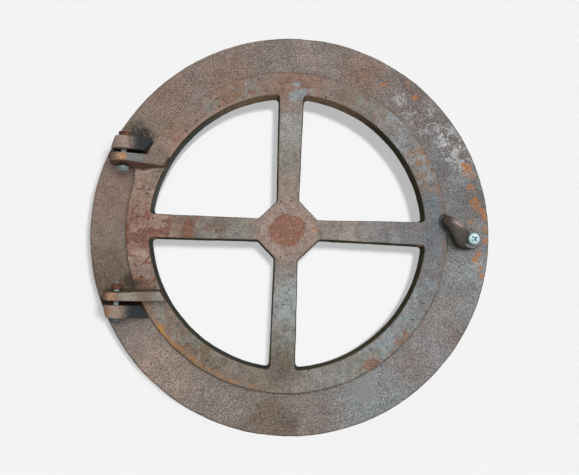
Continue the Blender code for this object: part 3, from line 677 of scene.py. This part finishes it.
def make_catch_iron():
    graph = Graph("catch_iron")
    place = graph.warped(120.0, 0.006)
    along = Vector((math.cos(CATCH_TURN), math.sin(CATCH_TURN)))
    across = Vector((-along.y, along.x))

    # Brown at the nose, grey-brown further back, and painted shade, blackish green, down its lower side
    nose = CATCH_SCREW.xy + along * 0.033
    colour = graph.mix(graph.noise(90.0, 4.0), srgb(62, 53, 45), srgb(84, 74, 66))
    colour = graph.tinted(colour, srgb(58, 45, 35), 0.8, graph.near((*nose, 0.041), 0.016, 0.7, place))
    side = graph.facing(across.x, across.y, 0.25, 0.75)
    colour = graph.tinted(colour, srgb(38, 40, 27), 0.85, side)

    # The boss's top is as grey as the flange; the hump is pink along its top, partly wear where hands push
    # it and partly a painted highlight
    boss = (CATCH_SCREW.x, CATCH_SCREW.y + 0.001, BOSS_TOP)
    flat = graph.ramp(graph.part("Z", graph.normal), 0.80, 0.95)
    low = graph.level(BOSS_TOP + 0.0010, BOSS_TOP + 0.0003)
    boss_top = graph.all_of(graph.near(boss, 0.012, 0.3, place), flat, low)
    colour = graph.tinted(colour, srgb(122, 124, 124), 0.95, boss_top)
    start = CATCH_SCREW.xy + along * 0.0140 - across * 0.0032
    end = CATCH_SCREW.xy + along * 0.0290 - across * 0.0032
    wear_and_highlight = graph.streak(start, end, 0.0038, graph.warped(260.0, 0.004))
    middle = start.lerp(end, 0.55)
    strength = graph.near((*middle, 0.044), 0.011, 0.8)
    lit_upward = graph.ramp(graph.part("Z", graph.normal), 0.3, 0.6)
    patchy = graph.ramp(graph.noise(420.0, 4.0, 0.7, shift=3.0), 0.38, 0.56, 0.35, 1.0)
    colour = graph.tinted(colour, srgb(182, 156, 148), 0.9, wear_and_highlight, strength, lit_upward, patchy)

    grain = graph.noise(500.0, 3.0, 0.6)
    colour = graph.vector("SCALE", colour, graph.ramp(grain, 0.25, 0.75, 0.7, 1.3))
    graph.bump(grain, 0.0006, 0.5)
    return graph.finish(colour, graph.ramp(grain, 0.3, 0.7, 0.7, 0.45), 0.0, 0.5)


def make_zinc(name, head, shank, grime, neck_shade, rusty_end):
    """Zinc plate, dulled in patches, with painted shade in its recess and round its head's rim. The screw's
    own Z runs up its axis.

    The shank is darkened for neck_shade under the head, painted shade with some grime, and rusty past
    rusty_end.
    """
    graph = Graph(name)
    dull = graph.ramp(graph.noise(260.0, 4.0, 0.6), 0.40, 0.62)
    height = graph.part("Z")
    colour = graph.mix(graph.ramp(height, -0.0002, 0.0), shank, head)
    colour = graph.mix(graph.math("MULTIPLY", dull, grime), colour, srgb(124, 128, 118))
    reach = graph.reach(MIDDLE)
    # Painted shade down the cross recess, leaving its centre bright
    sunk = graph.ramp(height, HEAD_HEIGHT - 0.0004, HEAD_HEIGHT - 0.0010)
    within = graph.ramp(reach, RECESS_R - 0.0001, RECESS_R + 0.0003, 1.0, 0.0)
    recess = graph.all_of(sunk, within, graph.ramp(height, 0.0, 0.001))
    around_tip = graph.ramp(reach, 0.0009, 0.0015)
    colour = graph.tinted(colour, srgb(52, 78, 90), 0.95, recess, around_tip)
    # Painted shade round the head's rim
    rim = graph.all_of(graph.ramp(reach, HEAD_R - 0.0008, HEAD_R - 0.0001), graph.ramp(height, 0.0, 0.0003))
    colour = graph.tinted(colour, srgb(92, 106, 106), 0.7, rim)
    # Painted shade, with some grime, on the neck under the head
    below_head = graph.ramp(height, -0.0001, -0.0003)
    within_neck_shade = graph.ramp(height, -neck_shade - 0.001, -neck_shade)
    colour = graph.tinted(colour, srgb(52, 45, 38), 0.95, below_head, within_neck_shade)
    speckle = graph.ramp(graph.noise(900.0, 3.0, 0.7), 0.46, 0.54)
    end = graph.ramp(height, -rusty_end, -rusty_end - 0.001)
    colour = graph.tinted(colour, srgb(150, 148, 142), 0.8, end)
    colour = graph.tinted(colour, srgb(48, 42, 38), 0.9, end, speckle)
    scratches = graph.noise(1500.0, 2.0, 0.6)
    colour = graph.vector("SCALE", colour, graph.ramp(scratches, 0.3, 0.7, 0.88, 1.1))
    graph.bump(scratches, 0.0001, 0.4)
    return graph.finish(colour, graph.ramp(dull, 0.0, 1.0, 0.34, 0.6), 0.25, 0.5)


def make_nut_rust():
    graph = Graph("nut_rust")
    flakes = graph.noise(420.0, 4.0, 0.65)
    colour = graph.mix(graph.ramp(flakes, 0.35, 0.6), srgb(74, 46, 37), srgb(116, 76, 60))
    dust = graph.ramp(graph.noise(220.0, 3.0, 0.6), 0.56, 0.68)
    colour = graph.tinted(colour, srgb(142, 98, 70), 0.6, dust)
    graph.bump(flakes, 0.0008, 0.8)
    return graph.finish(colour, 0.9, 0.0, 0.25)


# Meshes


def add_piece(name, mesh):
    obj = bpy.data.objects.new(name, mesh)
    bpy.context.scene.collection.objects.link(obj)
    return obj


def mesh_of(name, bm):
    """The mesh of a finished bmesh, which is freed, with its faces turned outwards."""
    bmesh.ops.recalc_face_normals(bm, faces=bm.faces)
    mesh = bpy.data.meshes.new(name)
    bm.to_mesh(mesh)
    bm.free()
    return mesh


def baked(obj):
    """Applies the object's modifiers to its mesh."""
    graph = bpy.context.evaluated_depsgraph_get()
    mesh = bpy.data.meshes.new_from_object(obj.evaluated_get(graph))
    obj.modifiers.clear()
    obj.data = mesh


def remeshed(obj, voxel, smoothing):
    """Skins the object again in even voxels, which closes it, and rounds its edges by smoothing."""
    remesh = obj.modifiers.new("remesh", "REMESH")
    remesh.mode = "VOXEL"
    remesh.voxel_size = voxel * COARSER
    remesh.use_smooth_shade = True
    smooth = obj.modifiers.new("smooth", "SMOOTH")
    smooth.factor = 0.5
    smooth.iterations = smoothing
    baked(obj)


def roughened(obj, waves):
    """Moves each point along its normal by noise: waves are (swells per metre, height)."""
    mesh = obj.data
    moves = []
    for vertex in mesh.vertices:
        swell = sum(noise.noise(vertex.co * density) * height for density, height in waves)
        moves.append(vertex.co + vertex.normal * swell)
    for vertex, place in zip(mesh.vertices, moves):
        vertex.co = place
    mesh.update()


def thinned(obj, most):
    """Brings the mesh down to that many triangles."""
    count = sum(len(face.vertices) - 2 for face in obj.data.polygons)
    if count > most:
        decimate = obj.modifiers.new("thin", "DECIMATE")
        decimate.ratio = most / count
        baked(obj)


def shaded(obj, material, angle=None):
    """Smooth, but for edges sharper than angle where it is given, and of that material."""
    obj.data.materials.clear()
    obj.data.materials.append(material)
    obj.data.shade_smooth()
    if angle is not None:
        obj.data.set_sharp_from_angle(angle=math.radians(angle))


def hand_over(obj, node, body):
    """The piece stands for a CAD node and moves with its body."""
    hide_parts(node)
    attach(obj, body)


def casting(name, node, voxel, smoothing, most):
    """A rough, soft-edged copy of a CAD node, of no more triangles than most."""
    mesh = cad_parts[node].data.copy()
    bm = bmesh.new()
    bm.from_mesh(mesh)
    bmesh.ops.remove_doubles(bm, verts=bm.verts, dist=0.000005)
    bm.to_mesh(mesh)
    bm.free()
    obj = add_piece(name, mesh)
    remeshed(obj, voxel, smoothing)
    roughened(obj, [(45.0, 0.00030), (240.0, 0.00016)])
    thinned(obj, most)
    return obj


def make_frame_casting():
    obj = casting("frame_casting", "frame", voxel=0.0009, smoothing=4, most=180_000)
    shaded(obj, make_frame_iron())
    hand_over(obj, "frame", "frame")


def make_sash_casting():
    obj = casting("sash_casting", "sash", voxel=0.0008, smoothing=4, most=180_000)
    shaded(obj, make_sash_iron())
    hand_over(obj, "sash", "sash")


def turned_mesh(name, rows, steps):
    """A closed turned solid from rows of (radius, height, thread depth), the highest first."""
    bm = bmesh.new()
    loops = []
    for radius, z, depth in rows:
        loop = []
        for step in range(steps):
            turn = 2 * math.pi * step / steps
            phase = (z / PITCH + step / steps) % 1.0
            reach = radius - depth * abs(2 * phase - 1)
            loop.append(bm.verts.new((reach * math.cos(turn), reach * math.sin(turn), z)))
        loops.append(loop)
    for upper, lower in zip(loops, loops[1:]):
        for i in range(steps):
            j = (i + 1) % steps
            bm.faces.new((upper[i], lower[i], lower[j], upper[j]))
    for loop, z in ((loops[0], rows[0][1]), (loops[-1], rows[-1][1])):
        tip = bm.verts.new((0.0, 0.0, z))
        for i in range(steps):
            bm.faces.new((loop[i], loop[(i + 1) % steps], tip))
    return mesh_of(name, bm)


def screw_rows(length):
    """A pan head with a rounded rim, a short neck, and a thread down to a chamfered end."""
    rim_height, squareness = 0.45, 3.4
    rows = []
    for share in (0.08, 0.25, 0.42, 0.56, 0.68, 0.78, 0.86, 0.92, 0.965, 0.99, 1.0):
        crown = (1 - rim_height) * math.sqrt(1 - share**squareness)
        rows.append((HEAD_R * share, HEAD_HEIGHT * (rim_height + crown), 0.0))
    rows += [(HEAD_R, 0.0006, 0.0), (HEAD_R * 0.985, 0.0001, 0.0), (HEAD_R * 0.96, 0.0, 0.0)]
    rows += [(THREAD_R + 0.0003, 0.0, 0.0), (THREAD_R, -0.0003, 0.0)]
    thread_top, plain_ends, step = -0.0010, 0.0016, PITCH / THREAD_STEPS
    count = int((length - plain_ends) / step)
    for i in range(count):
        run_in = min(1.0, i / THREAD_STEPS)
        rows.append((THREAD_R, thread_top - i * step, THREAD_DEPTH * run_in))
    rows += [(THREAD_R - 0.0006, -length, 0.0), (THREAD_R - 0.0010, -length, 0.0)]
    return rows


def skinned(bm, loops):
    """Joins each loop of points to the next with faces, and closes both ends."""
    for first, second in zip(loops, loops[1:]):
        count = len(first)
        for i in range(count):
            j = (i + 1) % count
            bm.faces.new((first[i], first[j], second[j], second[i]))
    bm.faces.new(loops[0])
    bm.faces.new(loops[-1])


def cross_recess():
    """The cross of a Phillips recess, which narrows as it goes down."""
    bm = bmesh.new()
    loops = []
    top = (RECESS_R, 0.0010, HEAD_HEIGHT + 0.0008)
    floor = (0.0014, 0.0005, HEAD_HEIGHT - RECESS_DEPTH)
    for reach, half, z in (top, floor):
        points = []
        for quarter in range(4):
            turn = Matrix.Rotation(quarter * math.pi / 2, 2)
            points += [turn @ Vector(point) for point in ((half, half), (half, reach), (-half, reach))]
        loops.append([bm.verts.new((*point, z)) for point in points])
    skinned(bm, loops)
    return add_piece("recess", mesh_of("recess", bm))


def cut(obj, cutter, operation="DIFFERENCE"):
    """Takes the cutter away from obj, or what operation says, and removes the cutter."""
    boolean = obj.modifiers.new("cut", "BOOLEAN")
    boolean.operation = operation
    boolean.object = cutter
    boolean.use_self = True
    baked(obj)
    bpy.data.objects.remove(cutter, do_unlink=True)


def without_slivers(obj):
    """Closes the edges and faces, thinner than shortest, that a cut can leave."""
    shortest = 0.000004
    bm = bmesh.new()
    bm.from_mesh(obj.data)
    bmesh.ops.dissolve_degenerate(bm, dist=shortest, edges=bm.edges)
    bmesh.ops.triangulate(bm, faces=bm.faces)
    bmesh.ops.dissolve_degenerate(bm, dist=shortest, edges=bm.edges)
    bm.to_mesh(obj.data)
    bm.free()


def make_screw(name, node, seat, turn, length, material):
    """A screw whose head's underside is at seat; turn takes its axis from Z."""
    obj = add_piece(name, turned_mesh(name, screw_rows(length), round(48 / COARSER)))
    cut(obj, cross_recess())
    without_slivers(obj)
    obj.matrix_world = Matrix.Translation(seat) @ turn
    shaded(obj, material, 40)
    hand_over(obj, node, "frame")


def make_nut(name, node, material):
    """A rusty hexagon nut on the hinge line, its corners worn round."""
    low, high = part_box(node)
    bm = bmesh.new()
    corner = NUT_FLATS / math.sqrt(3)
    bmesh.ops.create_cone(bm, cap_ends=True, segments=6, radius1=corner, radius2=corner, depth=NUT_HEIGHT)
    obj = add_piece(name, mesh_of(name, bm))
    half, face_r = NUT_HEIGHT / 2, NUT_FLATS * 0.475
    shoulder = half - 0.0009
    rows = [(face_r, half, 0.0), (corner, shoulder, 0.0), (corner, -shoulder, 0.0), (face_r, -half, 0.0)]
    cut(obj, add_piece("chamfer", turned_mesh("chamfer", rows, 48)), "INTERSECT")
    step = PITCH / THREAD_STEPS
    top = half + 0.001
    count = round(2 * top / step) + 1
    hole_rows = [(HOLE_R, top - i * step, THREAD_DEPTH * 0.6) for i in range(count)]
    cut(obj, add_piece("thread", turned_mesh("thread", hole_rows, 32)))
    remeshed(obj, 0.00018, 2)
    roughened(obj, [(900.0, 0.00012), (350.0, 0.00010)])
    thinned(obj, 40_000)
    turn = Matrix.Rotation(math.pi / 2, 4, "X")
    obj.data.transform(Matrix.Translation((low + high) / 2) @ turn)
    shaded(obj, material)
    hand_over(obj, node, "frame")


def make_fasteners():
    along_pin = Matrix.Rotation(math.pi / 2, 4, "X")
    shank = srgb(222, 240, 236)
    bolts = (("upper", srgb(196, 214, 212), 0.0290), ("lower", srgb(84, 100, 90), 0.0300))
    for side, head, rusty_end in bolts:
        node = f"{side}_hinge_bolt"
        low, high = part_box(node)
        seat = Vector((PIN.x, low.y + HEAD_HEIGHT, PIN.z))
        zinc = make_zinc(f"{side}_zinc", head, shank, grime=0.5, neck_shade=0.0040, rusty_end=rusty_end)
        make_screw(f"{side}_bolt_threaded", node, seat, along_pin, high.y - seat.y, zinc)
    low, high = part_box("catch_screw")
    seat = Vector((CATCH_SCREW.x, CATCH_SCREW.y, high.z - HEAD_HEIGHT))
    turn = Matrix.Rotation(math.radians(40), 4, "Z")
    zinc = make_zinc("screw_zinc", srgb(206, 234, 238), shank, grime=0.2, neck_shade=0.0, rusty_end=0.1)
    make_screw("catch_screw_threaded", "catch_screw", seat, turn, seat.z - low.z, zinc)
    rust = make_nut_rust()
    make_nut("upper_nut_rusty", "upper_hinge_nut", rust)
    make_nut("lower_nut_rusty", "lower_hinge_nut", rust)


# Sections of the catch's finger: distance from the screw, offset to its side, half width, underside, top
FINGER = [
    (-0.0060, 0.0040, 0.0046, 0.0306, 0.0368),
    (-0.0010, 0.0056, 0.0068, 0.0304, 0.0382),
    (0.0045, 0.0062, 0.0090, 0.0306, 0.0404),
    (0.0100, 0.0062, 0.0098, 0.0320, 0.0430),
    (0.0150, 0.0046, 0.0092, 0.0338, 0.0446),
    (0.0205, 0.0026, 0.0080, 0.0348, 0.0449),
    (0.0260, 0.0008, 0.0068, 0.0348, 0.0440),
    (0.0310, 0.0002, 0.0063, 0.0347, 0.0424),
    (0.0345, 0.0000, 0.0052, 0.0347, 0.0406),
    (0.0366, 0.0000, 0.0030, 0.0350, 0.0388),
]
FINGER_LEAN = 0.30  # how much its back leans over its upper side, at the screw
LEAN_REACH = 0.034  # where along the finger the lean ends
BOSS_SHIFT = (0.0006, 0.0014)  # the boss is cast a little off its screw


def finger_mesh():
    """Lofts the finger through its sections, which are ellipses with squared shoulders."""
    bm = bmesh.new()
    steps, squareness = 40, 2.5
    loops = []
    for x, offset, half, low, high in FINGER:
        middle = (low + high) / 2
        lean = FINGER_LEAN * max(0.0, 1 - max(x, 0.0) / LEAN_REACH)
        loop = []
        for step in range(steps):
            turn = 2 * math.pi * step / steps
            c, s = math.cos(turn), math.sin(turn)
            y = offset + half * math.copysign(abs(c) ** (2 / squareness), c)
            z = middle + (high - low) / 2 * math.copysign(abs(s) ** (2 / squareness), s)
            loop.append(bm.verts.new((x, y - lean * (z - middle), z)))
        loops.append(loop)
    skinned(bm, loops)
    return mesh_of("finger", bm)


def make_catch():
    """The finger grows out of a round boss and arches over to the sash's rim."""
    foot = FLANGE_FACE + GAP
    edge = 0.0012
    rows = [(BOSS_R - edge, BOSS_TOP, 0.0)]
    for step in range(1, 7):
        turn = math.radians(15 * step)
        rows.append((BOSS_R - edge + edge * math.sin(turn), BOSS_TOP - edge + edge * math.cos(turn), 0.0))
    rows.append((BOSS_R, foot, 0.0))
    obj = add_piece("catch_finger", turned_mesh("catch_finger", rows, 64))
    obj.data.transform(Matrix.Translation((*BOSS_SHIFT, 0.0)))
    finger = add_piece("finger", finger_mesh())
    subdivide = finger.modifiers.new("round", "SUBSURF")
    subdivide.levels = 2
    baked(finger)
    cut(obj, finger, "UNION")
    room_r, above, below = HEAD_R + 0.0009, 0.060, 0.020
    room_rows = [(room_r, above, 0.0), (room_r, BOSS_TOP - 0.0001, 0.0)]
    cut(obj, add_piece("head_room", turned_mesh("head_room", room_rows, 64)))
    hole_rows = [(HOLE_R, above, 0.0), (HOLE_R, below, 0.0)]
    cut(obj, add_piece("hole", turned_mesh("hole", hole_rows, 48)))
    remeshed(obj, 0.00035, 6)
    roughened(obj, [(160.0, 0.00022), (500.0, 0.00008)])
    thinned(obj, 80_000)
    turn = Matrix.Rotation(CATCH_TURN, 4, "Z")
    obj.data.transform(Matrix.Translation((CATCH_SCREW.x, CATCH_SCREW.y, 0.0)) @ turn)
    shaded(obj, make_catch_iron())
    hand_over(obj, "catch", "catch")


# Studio

PAPER = 0.915  # the background's brightness, linear
STAGE_R = 6.0
WINDOW_FLOOR_R = 0.150  # the floor that shows through the sash's openings
FLOOR_LIGHT = 27.5


def paper_material(name, glow, reflected):
    """Plain paper that glows a little, so that it shows only soft shadows."""
    graph = Graph(name)
    graph.shader.inputs["Base Color"].default_value = (reflected, reflected, reflected, 1.0)
    graph.shader.inputs["Roughness"].default_value = 1.0
    graph.shader.inputs["Specular IOR Level"].default_value = 0.0
    graph.shader.inputs["Emission Color"].default_value = (1.0, 1.0, 1.0, 1.0)
    graph.shader.inputs["Emission Strength"].default_value = glow
    return graph.material


def disc_mesh(name, inner, outer, start, end):
    """A flat ring sector on the floor between two angles in degrees; inner may be 0."""
    bm = bmesh.new()
    steps = 96
    turns = [start + (end - start) * i / steps for i in range(steps + 1)]
    near = [bm.verts.new(around(turn, inner, 0.0)) for turn in turns]
    far = [bm.verts.new(around(turn, outer, 0.0)) for turn in turns]
    for i in range(steps):
        bm.faces.new((near[i], far[i], far[i + 1], near[i + 1]))
    bmesh.ops.remove_doubles(bm, verts=bm.verts, dist=0.00001)
    return mesh_of(name, bm)


def make_floor(name, paper, inner, outer, start, end, light_from, spread):
    """A sheet of the floor with its own lamp, as the photo's shadows fall differently on each."""
    sheet = add_piece(name, disc_mesh(name, inner, outer, start, end))
    sheet.data.materials.append(paper)
    sheet.visible_shadow = False
    make_sun(f"{name}_light", light_from, FLOOR_LIGHT, spread, receivers=(sheet,))
    return sheet


def make_backdrop():
    """A great sphere of glowing paper round the floor, which the camera sees past the floor's edge."""
    bm = bmesh.new()
    bmesh.ops.create_uvsphere(bm, u_segments=64, v_segments=32, radius=STAGE_R)
    backdrop = add_piece("backdrop", mesh_of("backdrop", bm))
    backdrop.data.materials.append(paper_material("backdrop_paper", glow=PAPER, reflected=0.0))
    backdrop.visible_shadow = False
    return backdrop


def stand_by(obj):
    """Only the camera sees the stage, so that it lights nothing."""
    obj.visible_diffuse = False
    obj.visible_glossy = False
    obj.visible_transmission = False


def make_sun(name, direction, strength, angle, receivers=(), excluded=()):
    """A distant lamp shining from direction, on receivers only, or on all but the excluded."""
    lamp = bpy.data.lights.new(name, "SUN")
    lamp.energy = strength
    lamp.angle = math.radians(angle)
    obj = bpy.data.objects.new(name, lamp)
    obj.rotation_euler = Vector(direction).to_track_quat("Z", "Y").to_euler()
    bpy.context.scene.collection.objects.link(obj)
    linked = bpy.data.collections.new(f"{name}_linking")
    for target in (*receivers, *excluded):
        linked.objects.link(target)
    for entry in linked.collection_objects:
        entry.light_linking.link_state = "INCLUDE" if receivers else "EXCLUDE"
    obj.light_linking.receiver_collection = linked


def make_world():
    """Soft light from above, brighter to the upper right, and little from below."""
    world = bpy.data.worlds.new("studio")
    world.use_nodes = True
    bpy.context.scene.world = world
    tree = world.node_tree
    place = tree.nodes.new("ShaderNodeTexCoord")
    dot = tree.nodes.new("ShaderNodeVectorMath")
    dot.operation = "DOT_PRODUCT"
    dot.inputs[1].default_value = Vector((0.40, 0.35, 0.85)).normalized()
    tree.links.new(place.outputs["Generated"], dot.inputs[0])
    ramp = tree.nodes.new("ShaderNodeMapRange")
    ramp.interpolation_type = "SMOOTHSTEP"
    ramp.inputs["From Min"].default_value = -0.15
    ramp.inputs["From Max"].default_value = 0.95
    ramp.inputs["To Min"].default_value = 0.10
    ramp.inputs["To Max"].default_value = 0.94
    tree.links.new(dot.outputs["Value"], ramp.inputs["Value"])
    background = tree.nodes["Background"]
    tree.links.new(ramp.outputs["Result"], background.inputs["Strength"])
    background.inputs["Color"].default_value = (0.97, 0.985, 1.0, 1.0)


def make_camera():
    """It looks down from 0.63 m above the floor, a little to the left of the middle and below it."""
    camera = bpy.data.cameras.new("camera")
    camera.lens = 37.38
    camera.sensor_width = 36.0
    camera.clip_start = 0.01
    obj = bpy.data.objects.new("camera", camera)
    obj.location = (-0.0146, -0.0372, 0.630)
    obj.rotation_euler = (0.055, -0.024, 0.035)
    bpy.context.scene.collection.objects.link(obj)
    bpy.context.scene.camera = obj


def make_stage():
    """The backdrop, and the floor in three sheets: round the window and under its openings."""
    paper = paper_material("floor_paper", glow=0.468, reflected=0.05)
    inner = WINDOW_FLOOR_R
    stage = [
        make_backdrop(),
        make_floor("floor_around", paper, inner, STAGE_R, 0, 360, (0.43, 0.08, 1.0), 9.0),
        make_floor("floor_under_upper_windows", paper, 0.0, inner, 0, 180, (0.212, 0.205, 1.0), 8.0),
        make_floor("floor_under_lower_windows", paper, 0.0, inner, 180, 360, (0.13, 0.235, 1.0), 9.0),
    ]
    for piece in stage:
        stand_by(piece)
    return stage


make_camera()
make_world()
make_sun("key_light", (0.35, 0.35, 1.0), strength=0.85, angle=25.0, excluded=make_stage())
bpy.context.scene.view_settings.view_transform = "Standard"

make_frame_casting()
make_sash_casting()
make_fasteners()
make_catch()
